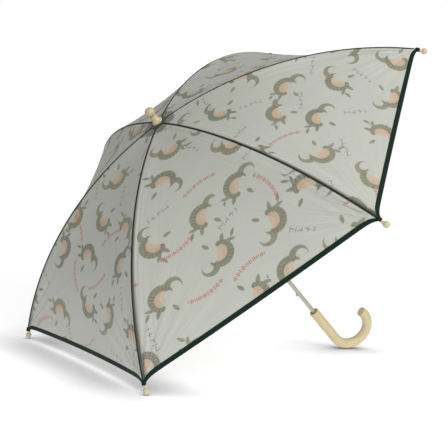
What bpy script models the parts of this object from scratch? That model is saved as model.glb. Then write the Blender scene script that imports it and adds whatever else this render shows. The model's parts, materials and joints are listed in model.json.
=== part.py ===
"""Children's umbrella: crook handle, six-rib folding frame and fabric canopy, standing open.

Metres, +Z up along the shaft towards the finial. The origin is on the shaft's axis,
level with the lowest point of the crook.
"""
import math

import bmesh
import bpy
from mathutils import Matrix, Vector

# Driving dimensions
GAP = 0.0003
RIB_COUNT = 6
CANOPY_RADIUS = 0.390           # canopy corner to shaft axis
CANOPY_ARC = 0.5595             # radius of the arc that each seam follows
CANOPY_HEIGHT = 0.4528          # handle's top to canopy's apex
FABRIC = 0.0006
HEM_CUT = 0.0146                # how far the hem is hollowed between corners, as a share of the seam
GORE_SAG = 0.0088               # how far a gore is pulled in at its middle

SHAFT_RADIUS = 0.0035
SHAFT_BORE = 0.0029
SLEEVE_BORE = SHAFT_RADIUS + GAP

HANDLE_RADIUS = 0.0085
CROOK_RADIUS = 0.033
CROOK_SWEEP = math.radians(194.1)
CROOK_END = 0.002               # short straight end of the crook
HOOK_AZIMUTH = math.radians(9.6)
HANDLE_TOP = 0.115
SHAFT_FOOT = 0.062
RECESS_RADIUS = 0.0056
RECESS_FLOOR = 0.104
COLLAR_RADIUS = 0.0048
END_EASE = 0.0012               # rounding of the handle's ends

PIVOT_RADIUS = 0.0095           # wire rings of the crown and of the runner
WIRE_RADIUS = 0.0005
EYE_HOLE = 0.0008
EYE_RADIUS = 0.0019
EYE_THICKNESS = 0.0014
NOTCH_WIDTH = 0.0022
NOTCH_FLOOR = 0.0072

RIB_WIDTH = 0.0028
RIB_HEIGHT = 0.0030
RIB_WALL = 0.0007
RIB_DROP = 0.0033               # canopy's outer face to the rib's middle
RIB_EYE_LENGTH = 0.007
STRETCHER_LENGTH = 0.190        # also the distance from crown pivot to rib rivet
FORK_LENGTH = 0.017
FORK_WEB = 0.0035               # solid part of the fork, clear of the rib when folded
FORK_CHEEK = 0.0008
FORK_HEIGHT = 0.0032
FORK_PLAY = 0.00035             # rib's side to the fork's cheek
STRETCHER_EYE_LENGTH = 0.010
RIVET_RADIUS = 0.0008
RIVET_HOLE = 0.0011
RIVET_HEAD = 0.0014
RIVET_HEAD_HEIGHT = 0.0005

TIP_BALL_RADIUS = 0.00485
TIP_BALL_OFFSET = 0.0084        # canopy corner to the middle of the ball
TIP_SLEEVE = 0.0022
TIP_BORE = 0.0013
RIB_PIN_RADIUS = 0.0010         # wire end that carries the tip cap
RIB_PIN_LENGTH = 0.0090
RIB_PIN_HELD = 0.003            # length of it inside the rib

FINIAL_RADIUS = 0.008
FINIAL_OFFSET = 0.0219          # apex to the middle of the ball
FINIAL_FLAT = 0.0066            # middle of the ball to its flat foot
CAP_NECK = 0.0053
CAP_SKIRT = 0.0085
CAP_FLARE = 0.0075
CAP_FOOT = 0.0013               # apex to the cap's foot
ROSETTE_RADIUS = 0.0120
ROSETTE_BORE = 0.0042

CATCH_OFFSET = 0.028            # runner's pivot ring to the middle of its window
CATCH_THICKNESS = 0.002
CATCH_REACH = 0.0066            # shaft axis to the nose's tip
CATCH_LEAF = (0.0017, 0.0023)   # inner and outer face of the leaf in the tube
CATCH_HINGE = 0.025             # middle of the nose to the leaf's root
SLOT_LENGTH = 0.0098
SLOT_PLAY = 0.0007
CROWN_PIN_DROP = 0.009
HUB_RIM = 0.011
HUB_SLEEVE = 0.0056
HUB_FACE = 0.0036               # depth of the ears below the pivot ring
CROWN_FOOT = -0.012
RUNNER_GRIP = 0.0076
WINDOW_SIZE = (0.008, 0.0034, 0.010)
RUNNER_TOP = 0.005
RUNNER_FOOT = -0.043

CANOPY_START = 0.010            # shaft axis to the panels' inner edge
SEAM_INSET = 0.0006
STRAP_WIDTH = 0.016
STRAP_THICKNESS = 0.0010
STRAP_LIFT = 0.0004             # canopy's face to the strap
STRAP_MIDDLE = 0.42             # place between the gore's seams
STRAP_SPAN = (0.66, 0.95)       # places down the seam
STUD_PLACE = 0.92
STUD_RADIUS = 0.0040
STUD_HEIGHT = 0.0012

# Worked out from them
APEX = HANDLE_TOP + CANOPY_HEIGHT
ARC_CENTRE = APEX - CANOPY_ARC
RIM_ANGLE = math.asin(CANOPY_RADIUS / CANOPY_ARC)
CROOK_CENTRE = CROOK_RADIUS + HANDLE_RADIUS
CATCH_AZIMUTH = HOOK_AZIMUTH + math.pi
RIB_STEP = 2 * math.pi / RIB_COUNT
RIB_ARC = CANOPY_ARC - RIB_DROP
PIVOT_ANGLE = math.asin(PIVOT_RADIUS / RIB_ARC)
PIVOT_DROP = RIB_ARC * math.cos(PIVOT_ANGLE)
CROWN_PIVOT = ARC_CENTRE + PIVOT_DROP
RIVET_ANGLE = PIVOT_ANGLE + 2 * math.asin(STRETCHER_LENGTH / (2 * RIB_ARC))
STRUT_SLOPE = (PIVOT_ANGLE + RIVET_ANGLE) / 2
RUNNER_PIVOT = CROWN_PIVOT - 2 * STRETCHER_LENGTH * math.sin(STRUT_SLOPE)
FOLD_RANGE = math.radians(66.5)
CLOSED_RUNNER_PIVOT = CROWN_PIVOT - 2 * STRETCHER_LENGTH * math.sin(STRUT_SLOPE + FOLD_RANGE)
BALL_CENTRE = APEX + FINIAL_OFFSET
SHAFT_TOP = BALL_CENTRE - 0.0014

PARTS = "childrens_umbrella"
CUTTERS = "cutters"
AXIS_TURN = {
    "X": Matrix.Rotation(math.pi / 2, 4, "Y"),
    "Y": Matrix.Rotation(-math.pi / 2, 4, "X"),
    "Z": Matrix.Identity(4),
}


def clear_scene():
    for obj in list(bpy.data.objects):
        bpy.data.objects.remove(obj, do_unlink=True)
    for collection in list(bpy.data.collections):
        bpy.data.collections.remove(collection)
    for name in (PARTS, CUTTERS):
        bpy.context.scene.collection.children.link(bpy.data.collections.new(name))


def material(name, colour, roughness, metallic=0.0):
    made = bpy.data.materials.new(name)
    made.use_nodes = True
    shader = made.node_tree.nodes["Principled BSDF"]
    shader.inputs["Base Color"].default_value = (*colour, 1.0)
    shader.inputs["Roughness"].default_value = roughness
    shader.inputs["Metallic"].default_value = metallic
    made.diffuse_color = (*colour, 1.0)
    return made


def add_object(name, data, collection=PARTS):
    obj = bpy.data.objects.new(name, data)
    bpy.data.collections[collection].objects.link(obj)
    return obj


def mesh_from(name, bm):
    bmesh.ops.recalc_face_normals(bm, faces=bm.faces)
    mesh = bpy.data.meshes.new(name)
    bm.to_mesh(mesh)
    bm.free()
    return mesh


def box(name, size, centre, collection=CUTTERS):
    bm = bmesh.new()
    bmesh.ops.create_cube(bm, size=1.0)
    bmesh.ops.scale(bm, vec=Vector(size), verts=bm.verts)
    bmesh.ops.translate(bm, vec=Vector(centre), verts=bm.verts)
    return add_object(name, mesh_from(name, bm), collection)


def rod(name, radius, length, centre, axis, collection=CUTTERS, segments=16):
    bm = bmesh.new()
    bmesh.ops.create_cone(bm, cap_ends=True, segments=segments,
                          radius1=radius, radius2=radius, depth=length)
    place = Matrix.Translation(Vector(centre)) @ AXIS_TURN[axis]
    bmesh.ops.transform(bm, matrix=place, verts=bm.verts)
    return add_object(name, mesh_from(name, bm), collection)


def arc(centre, radius, start, end, steps):
    """Points of an arc in a profile's plane; angles in degrees from +X."""
    points = []
    for step in range(steps + 1):
        angle = math.radians(start + (end - start) * step / steps)
        points.append((centre[0] + radius * math.cos(angle), centre[1] + radius * math.sin(angle)))
    return points


def turned(name, profile, z=0.0, closed=True, steps=24, collection=PARTS):
    """A profile of (radius, height) pairs, turned about Z; the outer side runs top to bottom."""
    mesh = bpy.data.meshes.new(name)
    count = len(profile)
    edges = [(i, i + 1) for i in range(count - 1)]
    if closed:
        edges.append((count - 1, 0))
    mesh.from_pydata([(x, 0.0, height) for x, height in profile], edges, [])
    obj = add_object(name, mesh, collection)
    obj.location.z = z
    screw = obj.modifiers.new("Turn", "SCREW")
    screw.axis = "Z"
    screw.angle = 2 * math.pi
    screw.steps = steps
    screw.render_steps = steps
    screw.use_merge_vertices = True
    screw.merge_threshold = 0.00001
    screw.use_smooth_shade = True
    return obj


def outline(name, points, thickness, collection=PARTS):
    """A flat outline in its own XY plane, with the given thickness along its Z."""
    curve = bpy.data.curves.new(name, "CURVE")
    curve.dimensions = "2D"
    curve.fill_mode = "BOTH"
    curve.extrude = thickness / 2
    spline = curve.splines.new("POLY")
    spline.points.add(len(points) - 1)
    for point, (x, y) in zip(spline.points, points):
        point.co = (x, y, 0.0, 1.0)
    spline.use_cyclic_u = True
    return add_object(name, curve, collection)


def combine(target, tool, operation="DIFFERENCE"):
    modifier = target.modifiers.new(tool.name, "BOOLEAN")
    modifier.operation = operation
    modifier.solver = "EXACT"
    modifier.object = tool
    tool.hide_render = True
    tool.display_type = "WIRE"


def evaluated_mesh(obj, weld=False):
    bpy.context.view_layer.update()
    depsgraph = bpy.context.evaluated_depsgraph_get()
    mesh = bpy.data.meshes.new_from_object(obj.evaluated_get(depsgraph), depsgraph=depsgraph)
    if weld:
        bm = bmesh.new()
        bm.from_mesh(mesh)
        bmesh.ops.remove_doubles(bm, verts=bm.verts, dist=0.000001)
        bm.to_mesh(mesh)
        bm.free()
    return mesh


def as_mesh(curve_object, collection=PARTS):
    """Replace a curve object by a welded mesh in the same place."""
    name = curve_object.name
    mesh = evaluated_mesh(curve_object, weld=True)
    matrix = curve_object.matrix_world.copy()
    bpy.data.objects.remove(curve_object)
    obj = add_object(name, mesh, collection)
    obj.matrix_world = matrix
    return obj


def take_mesh(obj):
    """Finish a master shape: return its final mesh, and remove it and its tools."""
    mesh = evaluated_mesh(obj)
    tools = [modifier.object for modifier in obj.modifiers if modifier.type == "BOOLEAN"]
    for used in [obj] + tools:
        bpy.data.objects.remove(used)
    shade(mesh)
    return mesh


def shade(mesh, angle=35.0):
    mesh.shade_smooth()
    mesh.set_sharp_from_angle(angle=math.radians(angle))


def give(obj, made):
    obj.data.materials.clear()
    obj.data.materials.append(made)
    return obj


def azimuth_vector(azimuth):
    return Vector((math.cos(azimuth), math.sin(azimuth), 0.0))


def upright_turn(azimuth):
    """Turn that stands an XY outline up: its X points along the azimuth, its Y up."""
    return Matrix.Rotation(azimuth, 4, "Z") @ Matrix.Rotation(math.pi / 2, 4, "X")


def pivot(name, place, parent=None):
    empty = bpy.data.objects.new(name, None)
    empty.empty_display_size = 0.01
    bpy.data.collections[PARTS].objects.link(empty)
    empty.parent = parent
    empty.matrix_local = place
    return empty


def child(name, mesh, parent, place, made):
    obj = add_object(name, mesh)
    obj.parent = parent
    obj.matrix_local = place
    return give(obj, made)


# Shaft and what is fixed to it

def nose_zone(runner_pivot):
    return runner_pivot - CATCH_OFFSET


def build_shaft(made):
    profile = [(SHAFT_RADIUS, SHAFT_TOP), (SHAFT_RADIUS, SHAFT_FOOT),
               (SHAFT_BORE, SHAFT_FOOT), (SHAFT_BORE, SHAFT_TOP)]
    shaft = turned("shaft_tube", profile)
    for name, level in (("top", nose_zone(RUNNER_PIVOT)), ("bottom", nose_zone(CLOSED_RUNNER_PIVOT))):
        slot = box(name + "_catch_slot", (0.005, CATCH_THICKNESS + SLOT_PLAY, SLOT_LENGTH),
                   (0.0045, 0.0, 0.0))
        slot.location = (0.0, 0.0, level)
        slot.rotation_euler.z = CATCH_AZIMUTH
        combine(shaft, slot)
    for name, level in (("crown", crown_pin_level()), ("stop", stop_pin_level())):
        combine(shaft, rod(name + "_pin_hole", RIVET_HOLE, 0.012, (0.0, 0.0, level), "Y"))
    return give(shaft, made)


def crown_pin_level():
    return CROWN_PIVOT - CROWN_PIN_DROP


def stop_pin_level():
    return RUNNER_PIVOT + RUNNER_TOP + GAP + RIVET_RADIUS + 0.0001


def build_pins(made):
    give(rod("crown_pin", RIVET_RADIUS, 0.0104, (0, 0, crown_pin_level()), "Y", PARTS), made)
    give(rod("stop_pin", RIVET_RADIUS, 0.0098, (0, 0, stop_pin_level()), "Y", PARTS), made)


def build_handle(made):
    """Straight grip and crook, one tube of constant section with eased ends."""
    curve = bpy.data.curves.new("handle", "CURVE")
    curve.dimensions = "3D"
    curve.bevel_depth = HANDLE_RADIUS
    curve.bevel_resolution = 4
    curve.use_fill_caps = True
    spline = curve.splines.new("POLY")
    points = [Vector((0.0, 0.0, HANDLE_TOP))]
    steps = 26
    hook = azimuth_vector(HOOK_AZIMUTH)
    for step in range(steps + 1):
        angle = CROOK_SWEEP * step / steps
        points.append(hook * CROOK_RADIUS * (1 - math.cos(angle))
                      + Vector((0, 0, CROOK_CENTRE - CROOK_RADIUS * math.sin(angle))))
    points.append(points[-1] + CROOK_END * (hook * math.sin(CROOK_SWEEP)
                                            - Vector((0, 0, math.cos(CROOK_SWEEP)))))
    spline.points.add(len(points) - 1)
    for point, place in zip(spline.points, points):
        point.co = (*place, 1.0)
    handle = as_mesh(add_object("handle", curve))
    ease = handle.modifiers.new("Eased ends", "BEVEL")
    ease.width = END_EASE
    ease.segments = 2
    ease.limit_method = "ANGLE"
    ease.angle_limit = math.radians(60)
    cut_top = HANDLE_TOP + 0.005
    for name, radius, foot in (("handle_bore", SLEEVE_BORE, SHAFT_FOOT - 0.002),
                               ("handle_recess", RECESS_RADIUS, RECESS_FLOOR)):
        middle = (0, 0, (cut_top + foot) / 2)
        combine(handle, rod(name, radius, cut_top - foot, middle, "Z", segments=24))
    shade(handle.data)
    give(handle, made)


def build_handle_collar(made):
    top = HANDLE_TOP - 0.0015
    ease = 0.0005
    foot = RECESS_FLOOR + 0.0005
    profile = [(COLLAR_RADIUS - ease, top), (COLLAR_RADIUS, top - ease), (COLLAR_RADIUS, foot),
               (SLEEVE_BORE, foot), (SLEEVE_BORE, top)]
    give(turned("handle_collar", profile), made)


def build_catch(name, level, flip, made):
    """Leaf inside the tube with a wedge nose through the slot, drawn for the upper side sloping."""
    leaf_in, leaf_out = CATCH_LEAF
    points = [(leaf_in, 0.026), (leaf_out, 0.026), (leaf_out, 0.0040), (CATCH_REACH, -0.0026),
              (CATCH_REACH, -0.0036), (leaf_out, -0.0040), (leaf_out, -0.0048), (leaf_in, -0.0048)]
    hinge = Vector(((leaf_in + leaf_out) / 2, CATCH_HINGE))
    shifted = [(x - hinge.x, flip * (y - hinge.y)) for x, y in points]
    catch = outline(name, shifted, CATCH_THICKNESS)
    place = azimuth_vector(CATCH_AZIMUTH) * hinge.x + Vector((0, 0, level + flip * hinge.y))
    catch.matrix_world = Matrix.Translation(place) @ upright_turn(CATCH_AZIMUTH)
    give(as_mesh(catch), made)


def build_finial(ball_made, cap_made):
    seat = -math.degrees(math.asin(FINIAL_FLAT / FINIAL_RADIUS))
    bore_top = SHAFT_TOP - BALL_CENTRE + 0.0004
    ball = arc((0, 0), FINIAL_RADIUS, 90, seat, 8)
    ball[0] = (0.0, FINIAL_RADIUS)
    ball += [(SLEEVE_BORE, -FINIAL_FLAT), (SLEEVE_BORE, bore_top), (0.0, bore_top)]
    give(turned("finial_ball", ball, BALL_CENTRE, closed=False), ball_made)
    cap_top = FINIAL_OFFSET - FINIAL_FLAT - GAP
    ease = 0.0004
    bell = [(CAP_NECK - ease, cap_top), (CAP_NECK, cap_top - ease)]
    bell += arc((CAP_NECK + CAP_FLARE, CAP_FOOT + 0.0016 + CAP_FLARE), CAP_FLARE, 180, 235, 6)
    bell += [(CAP_SKIRT, CAP_FOOT + 0.0014), (CAP_SKIRT, CAP_FOOT + ease), (CAP_SKIRT - ease, CAP_FOOT),
             (SLEEVE_BORE, CAP_FOOT), (SLEEVE_BORE, cap_top)]
    give(turned("finial_cap", bell, APEX), cap_made)


def build_rosette(made):
    profile = [(ROSETTE_RADIUS - 0.0005, 0.0010), (ROSETTE_RADIUS, GAP), (ROSETTE_BORE, GAP),
               (ROSETTE_BORE, 0.0010)]
    give(turned("rosette", profile, APEX), made)


# Notched hubs: the crown is fixed to the shaft, the runner slides on it

def hub_profile(top, foot_profile):
    groove = 0.0008
    groove_floor = PIVOT_RADIUS - WIRE_RADIUS - GAP
    ears = [(HUB_RIM, groove), (groove_floor, groove), (groove_floor, -groove), (HUB_RIM, -groove),
            (HUB_RIM, -HUB_FACE)]
    return top + ears + foot_profile


def notch_cutter(name, level, low, high):
    bm = bmesh.new()
    reach = 0.014
    for index in range(RIB_COUNT):
        cube = bmesh.ops.create_cube(bm, size=1.0)["verts"]
        bmesh.ops.scale(bm, vec=(reach - NOTCH_FLOOR, NOTCH_WIDTH, high - low), verts=cube)
        bmesh.ops.translate(bm, vec=((reach + NOTCH_FLOOR) / 2, 0, (high + low) / 2), verts=cube)
        bmesh.ops.rotate(bm, cent=(0, 0, 0), matrix=Matrix.Rotation(index * RIB_STEP, 3, "Z"),
                         verts=cube)
    cutter = add_object(name, mesh_from(name, bm), CUTTERS)
    cutter.location.z = level
    return cutter


def build_crown(made, wire):
    top = 0.0016
    profile = hub_profile(
        [(HUB_RIM - 0.0004, top), (HUB_RIM, top - 0.0003)],
        [(HUB_SLEEVE, -0.005), (HUB_SLEEVE, CROWN_FOOT), (SLEEVE_BORE, CROWN_FOOT), (SLEEVE_BORE, top)])
    crown = turned("crown", profile, CROWN_PIVOT)
    combine(crown, notch_cutter("crown_notches", CROWN_PIVOT, -0.006, 0.003))
    combine(crown, rod("crown_collar_hole", RIVET_HOLE, 0.014, (0, 0, crown_pin_level()), "Y"))
    give(crown, made)
    build_wire_ring("crown_ring", CROWN_PIVOT, wire)


def build_runner(made, wire):
    lip = 0.0054
    ease = 0.0006
    profile = hub_profile(
        [(lip, RUNNER_TOP), (lip, HUB_FACE), (HUB_RIM, HUB_FACE)],
        [(HUB_SLEEVE, -0.0055), (HUB_SLEEVE, -0.036), (RUNNER_GRIP, -0.040), (RUNNER_GRIP, -0.0424),
         (RUNNER_GRIP - ease, RUNNER_FOOT), (SLEEVE_BORE + 0.0007, RUNNER_FOOT),
         (SLEEVE_BORE, RUNNER_FOOT + 0.0008), (SLEEVE_BORE, RUNNER_TOP - ease),
         (SLEEVE_BORE + ease, RUNNER_TOP)])
    runner = turned("runner", profile, RUNNER_PIVOT)
    combine(runner, notch_cutter("runner_notches", RUNNER_PIVOT, -0.0062, 0.0046))
    window = box("runner_window", WINDOW_SIZE, (0.006, 0, 0))
    window.location.z = nose_zone(RUNNER_PIVOT)
    window.rotation_euler.z = CATCH_AZIMUTH
    combine(runner, window)
    give(runner, made)
    build_wire_ring("runner_ring", RUNNER_PIVOT, wire)


def build_wire_ring(name, level, made):
    profile = arc((PIVOT_RADIUS, 0), WIRE_RADIUS, 90, -210, 5)
    give(turned(name, profile, level, steps=30), made)


# Ribs and stretchers, drawn in the plane of rib 1: X outward, Z up, Y across

def channel_points(open_side):
    """Section of the folded-sheet channel as (height, across) pairs, open to one side."""
    half_height = RIB_HEIGHT / 2
    half_width = RIB_WIDTH / 2
    inner = half_width - RIB_WALL
    web = half_height - RIB_WALL
    points = [(half_height, -half_width), (half_height, half_width), (-half_height, half_width),
              (-half_height, inner), (web, inner), (web, -inner), (-half_height, -inner),
              (-half_height, -half_width)]
    return [(-open_side * height, across) for height, across in points]


def arc_point(angle, radius=RIB_ARC):
    """Point on a rib's arc, from its crown pivot."""
    return Vector((radius * math.sin(angle) - PIVOT_RADIUS, 0, radius * math.cos(angle) - PIVOT_DROP))


def eye_plate(name, length, direction):
    """Flat tongue from an eye at the origin, with a rounded end, joined to its own hub."""
    plate = box(name, (length, EYE_THICKNESS, 0.0027), (direction * length / 2, 0, 0))
    combine(plate, rod(name + "_round", EYE_RADIUS, EYE_THICKNESS, (0, 0, 0), "Y"), "UNION")
    mesh = evaluated_mesh(plate)
    tools = [modifier.object for modifier in plate.modifiers]
    for used in [plate] + tools:
        bpy.data.objects.remove(used)
    return add_object(name, mesh, CUTTERS)


def rib_mesh():
    start = PIVOT_ANGLE + RIB_EYE_LENGTH / RIB_ARC
    end = RIM_ANGLE - 0.0003 / RIB_ARC
    bm = bmesh.new()
    ring = []
    for height, across in channel_points(open_side=-1):
        place = arc_point(start, RIB_ARC + height)
        ring.append(bm.verts.new((place.x, across, place.z)))
    face = bm.faces.new(ring)
    bmesh.ops.spin(bm, geom=[face], cent=(-PIVOT_RADIUS, 0, -PIVOT_DROP), axis=(0, 1, 0),
                   angle=end - start, steps=16, use_duplicate=False)
    rib = add_object("rib_master", mesh_from("rib_master", bm), CUTTERS)
    combine(rib, eye_plate("rib_eye", RIB_EYE_LENGTH + 0.002, 1), "UNION")
    pin = rod("rib_pin", RIB_PIN_RADIUS, RIB_PIN_LENGTH, (0, 0, 0), "X", segments=12)
    pin.matrix_world = along_rib(end, RIB_PIN_LENGTH / 2 - RIB_PIN_HELD)
    combine(rib, pin, "UNION")
    combine(rib, rod("rib_eye_hole", EYE_HOLE, 0.004, (0, 0, 0), "Y"))
    combine(rib, rod("rib_rivet_hole", RIVET_HOLE, 0.006, arc_point(RIVET_ANGLE), "Y"))
    return take_mesh(rib)


def along_rib(angle, offset=0.0):
    """Frame on a rib's arc with X along the rib outward, moved on by the offset."""
    return (Matrix.Translation(arc_point(angle)) @ Matrix.Rotation(angle, 4, "Y")
            @ Matrix.Translation((offset, 0, 0)))


def stretcher_mesh():
    """Fork at the rivet, X towards the runner, eye at the stretcher's length."""
    inner = RIB_WIDTH / 2 + FORK_PLAY
    outer = inner + FORK_CHEEK
    start = FORK_LENGTH - 0.003
    channel_length = STRETCHER_LENGTH - STRETCHER_EYE_LENGTH - start
    bm = bmesh.new()
    ring = [bm.verts.new((start, across, height)) for height, across in channel_points(open_side=1)]
    face = bm.faces.new(ring)
    grown = bmesh.ops.extrude_face_region(bm, geom=[face])["geom"]
    moved = [item for item in grown if isinstance(item, bmesh.types.BMVert)]
    bmesh.ops.translate(bm, vec=(channel_length, 0, 0), verts=moved)
    strut = add_object("stretcher_master", mesh_from("stretcher_master", bm), CUTTERS)
    fork = box("fork", (FORK_LENGTH, 2 * outer, FORK_HEIGHT), (FORK_LENGTH / 2, 0, 0))
    combine(fork, rod("fork_round", FORK_HEIGHT / 2, 2 * outer, (0, 0, 0), "Y"), "UNION")
    combine(fork, box("fork_gap", (FORK_LENGTH, 2 * inner, 0.006), (FORK_LENGTH / 2 - FORK_WEB, 0, 0)))
    combine(fork, rod("fork_hole", RIVET_HOLE, 0.008, (0, 0, 0), "Y"))
    fork_solid = add_object("fork_solid", take_mesh(fork), CUTTERS)
    combine(strut, fork_solid, "UNION")
    eye = eye_plate("stretcher_eye", STRETCHER_EYE_LENGTH + 0.002, -1)
    eye.location.x = STRETCHER_LENGTH
    combine(strut, eye, "UNION")
    combine(strut, rod("stretcher_eye_hole", EYE_HOLE, 0.004, (STRETCHER_LENGTH, 0, 0), "Y"))
    return take_mesh(strut)


def rivet_mesh():
    head_in = RIB_WIDTH / 2 + FORK_PLAY + FORK_CHEEK + GAP
    head_out = head_in + RIVET_HEAD_HEIGHT
    side = [(0, head_out), (RIVET_HEAD - 0.0003, head_out), (RIVET_HEAD, head_out - 0.0002),
            (RIVET_HEAD, head_in), (RIVET_RADIUS, head_in)]
    profile = side + [(radius, -height) for radius, height in reversed(side)]
    return take_mesh(turned("rivet_master", profile, closed=False, steps=12))


def tip_cap_mesh():
    """Ball and short sleeve about Z, the sleeve's mouth at the bottom."""
    mouth = -TIP_BALL_OFFSET + 0.0004
    join = -math.degrees(math.acos(TIP_SLEEVE / TIP_BALL_RADIUS))
    profile = arc((0, 0), TIP_BALL_RADIUS, 90, join, 7)
    profile[0] = (0.0, TIP_BALL_RADIUS)
    profile += [(TIP_SLEEVE, mouth + 0.0003), (TIP_SLEEVE - 0.0003, mouth), (TIP_BORE, mouth),
                (TIP_BORE, -0.0020), (0.0, -0.0020)]
    return take_mesh(turned("tip_cap_master", profile, closed=False, steps=14))


def build_frame(steel, cap_made, rivet_made):
    """Six ribs on the crown's ring, each with its stretcher, rivet and tip cap."""
    rib, stretcher, rivet, tip = rib_mesh(), stretcher_mesh(), rivet_mesh(), tip_cap_mesh()
    along_y = AXIS_TURN["Y"]
    pivots = []
    for index in range(RIB_COUNT):
        number = str(index + 1)
        azimuth = index * RIB_STEP
        place = Matrix.Translation(azimuth_vector(azimuth) * PIVOT_RADIUS + Vector((0, 0, CROWN_PIVOT)))
        hinge = pivot("rib_pivot_" + number, place @ Matrix.Rotation(azimuth, 4, "Z"))
        child("rib_" + number, rib, hinge, Matrix.Identity(4), steel)
        rivet_place = Matrix.Translation(arc_point(RIVET_ANGLE))
        child("rib_rivet_" + number, rivet, hinge, rivet_place @ along_y, rivet_made)
        ball_place = along_rib(RIM_ANGLE, TIP_BALL_OFFSET) @ AXIS_TURN["X"]
        child("tip_cap_" + number, tip, hinge, ball_place, cap_made)
        strut_turn = Matrix.Rotation(math.pi - STRUT_SLOPE, 4, "Y")
        knee = pivot("stretcher_pivot_" + number, rivet_place @ strut_turn, hinge)
        child("stretcher_" + number, stretcher, knee, Matrix.Identity(4), steel)
        pivots.append(hinge)
    return pivots


# Canopy

def canopy_point(azimuth, along, across):
    """Outer face of the gore that starts at an azimuth: apex to hem, and seam to seam, both 0 to 1."""
    bow = 4 * across * (1 - across)
    angle = RIM_ANGLE * along * (1 - HEM_CUT * bow)
    radius = CANOPY_ARC * math.sin(angle)
    seam = azimuth_vector(azimuth) * radius
    next_seam = azimuth_vector(azimuth + RIB_STEP) * radius
    point = seam.lerp(next_seam, across) + Vector((0, 0, ARC_CENTRE + CANOPY_ARC * math.cos(angle)))
    inward = -azimuth_vector(azimuth + RIB_STEP / 2) * math.sin(angle) - Vector((0, 0, math.cos(angle)))
    return point + inward * (GORE_SAG * bow * along * (2 - along))


def canopy_patch(azimuth, along_range, across_at, rows, columns):
    """Grid of canopy points; across_at gives the two sides' places for a place along."""
    bm = bmesh.new()
    bmesh.ops.create_grid(bm, x_segments=rows, y_segments=columns, size=0.5)
    for vert in bm.verts:
        along = along_range[0] + (along_range[1] - along_range[0]) * (vert.co.x + 0.5)
        low, high = across_at(along)
        vert.co = canopy_point(azimuth, along, low + (high - low) * (vert.co.y + 0.5))
    return bm


def sheet_object(name, bm, thickness, made, parent, outward=False):
    """Thicken a grid of world points into a sheet, its origin on the parent pivot."""
    bpy.context.view_layer.update()
    bmesh.ops.transform(bm, matrix=parent.matrix_world.inverted(), verts=bm.verts)
    mesh = bpy.data.meshes.new(name)
    bm.to_mesh(mesh)
    bm.free()
    mesh.shade_smooth()
    sheet = child(name, mesh, parent, Matrix.Identity(4), made)
    solid = sheet.modifiers.new("Thickness", "SOLIDIFY")
    solid.thickness = thickness
    solid.offset = 1.0 if outward else -1.0
    return sheet


def build_canopy(pivots, made):
    """Two half panels a gore, each hinged with the rib on its own side."""
    start = CANOPY_START / CANOPY_RADIUS

    def first_half(along):
        return SEAM_INSET / (CANOPY_RADIUS * along), 0.5 - GAP / CANOPY_RADIUS / along

    def second_half(along):
        return 0.5 + GAP / CANOPY_RADIUS / along, 1 - SEAM_INSET / (CANOPY_RADIUS * along)

    for index, hinge in enumerate(pivots):
        after = (index + 1) % RIB_COUNT
        name = "panel_" + str(index + 1) + str(after + 1)
        for side, span, parent in (("a", first_half, hinge), ("b", second_half, pivots[after])):
            bm = canopy_patch(index * RIB_STEP, (start, 1.0), span, 14, 4)
            sheet_object(name + side, bm, FABRIC, made, parent)


def build_strap(hinge, made, stud_made):
    """Closing strap lying on the far gore's outer face, with a press stud at its lower end."""
    azimuth = RIB_STEP

    def span(along):
        half = STRAP_WIDTH / 2 / (CANOPY_RADIUS * along)
        return STRAP_MIDDLE - half, STRAP_MIDDLE + half

    bm = canopy_patch(azimuth, STRAP_SPAN, span, 8, 2)
    bm.normal_update()
    for vert in bm.verts:
        vert.co += vert.normal * STRAP_LIFT
    sheet_object("tie_strap", bm, STRAP_THICKNESS, made, hinge, outward=True)
    seat = canopy_point(azimuth, STUD_PLACE, STRAP_MIDDLE)
    tangent = (canopy_point(azimuth, STUD_PLACE + 0.01, STRAP_MIDDLE) - seat).normalized()
    side = (canopy_point(azimuth, STUD_PLACE, STRAP_MIDDLE + 0.01) - seat).normalized()
    normal = tangent.cross(side).normalized()
    profile = [(0, STUD_HEIGHT), (STUD_RADIUS * 0.7, STUD_HEIGHT), (STUD_RADIUS, STUD_HEIGHT / 3),
               (STUD_RADIUS, 0), (0, 0)]
    stud = take_mesh(turned("stud_master", profile, closed=False, steps=14))
    turn = Matrix((tangent, side, normal)).transposed().to_4x4()
    place = Matrix.Translation(seat + normal * (STRAP_LIFT + STRAP_THICKNESS + 2 * GAP)) @ turn
    child("strap_stud", stud, hinge, hinge.matrix_world.inverted() @ place, stud_made)


def build():
    clear_scene()
    steel = material("shaft_steel", (0.46, 0.45, 0.37), 0.32, 0.9)
    dark_steel = material("frame_steel", (0.10, 0.10, 0.10), 0.38, 0.8)
    bright = material("wire_steel", (0.55, 0.55, 0.55), 0.3, 1.0)
    cream = material("cream_plastic", (0.53, 0.45, 0.26), 0.45)
    pale = material("pale_plastic", (0.50, 0.41, 0.24), 0.42)
    black = material("black_plastic", (0.03, 0.03, 0.03), 0.5)
    fabric = material("canopy_fabric", (0.53, 0.55, 0.49), 0.5)
    green = material("green_fabric", (0.02, 0.04, 0.025), 0.7)
    build_shaft(steel)
    build_pins(bright)
    build_handle(cream)
    build_handle_collar(pale)
    build_catch("bottom_catch", nose_zone(CLOSED_RUNNER_PIVOT), 1, bright)
    build_catch("top_catch", nose_zone(RUNNER_PIVOT), -1, bright)
    build_finial(pale, cream)
    build_rosette(green)
    build_crown(black, bright)
    build_runner(black, bright)
    pivots = build_frame(dark_steel, pale, bright)
    build_canopy(pivots, fabric)
    build_strap(pivots[1], green, bright)


build()
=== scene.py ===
import json
import math

import bpy
import numpy as np
from mathutils import Matrix, Vector


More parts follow.
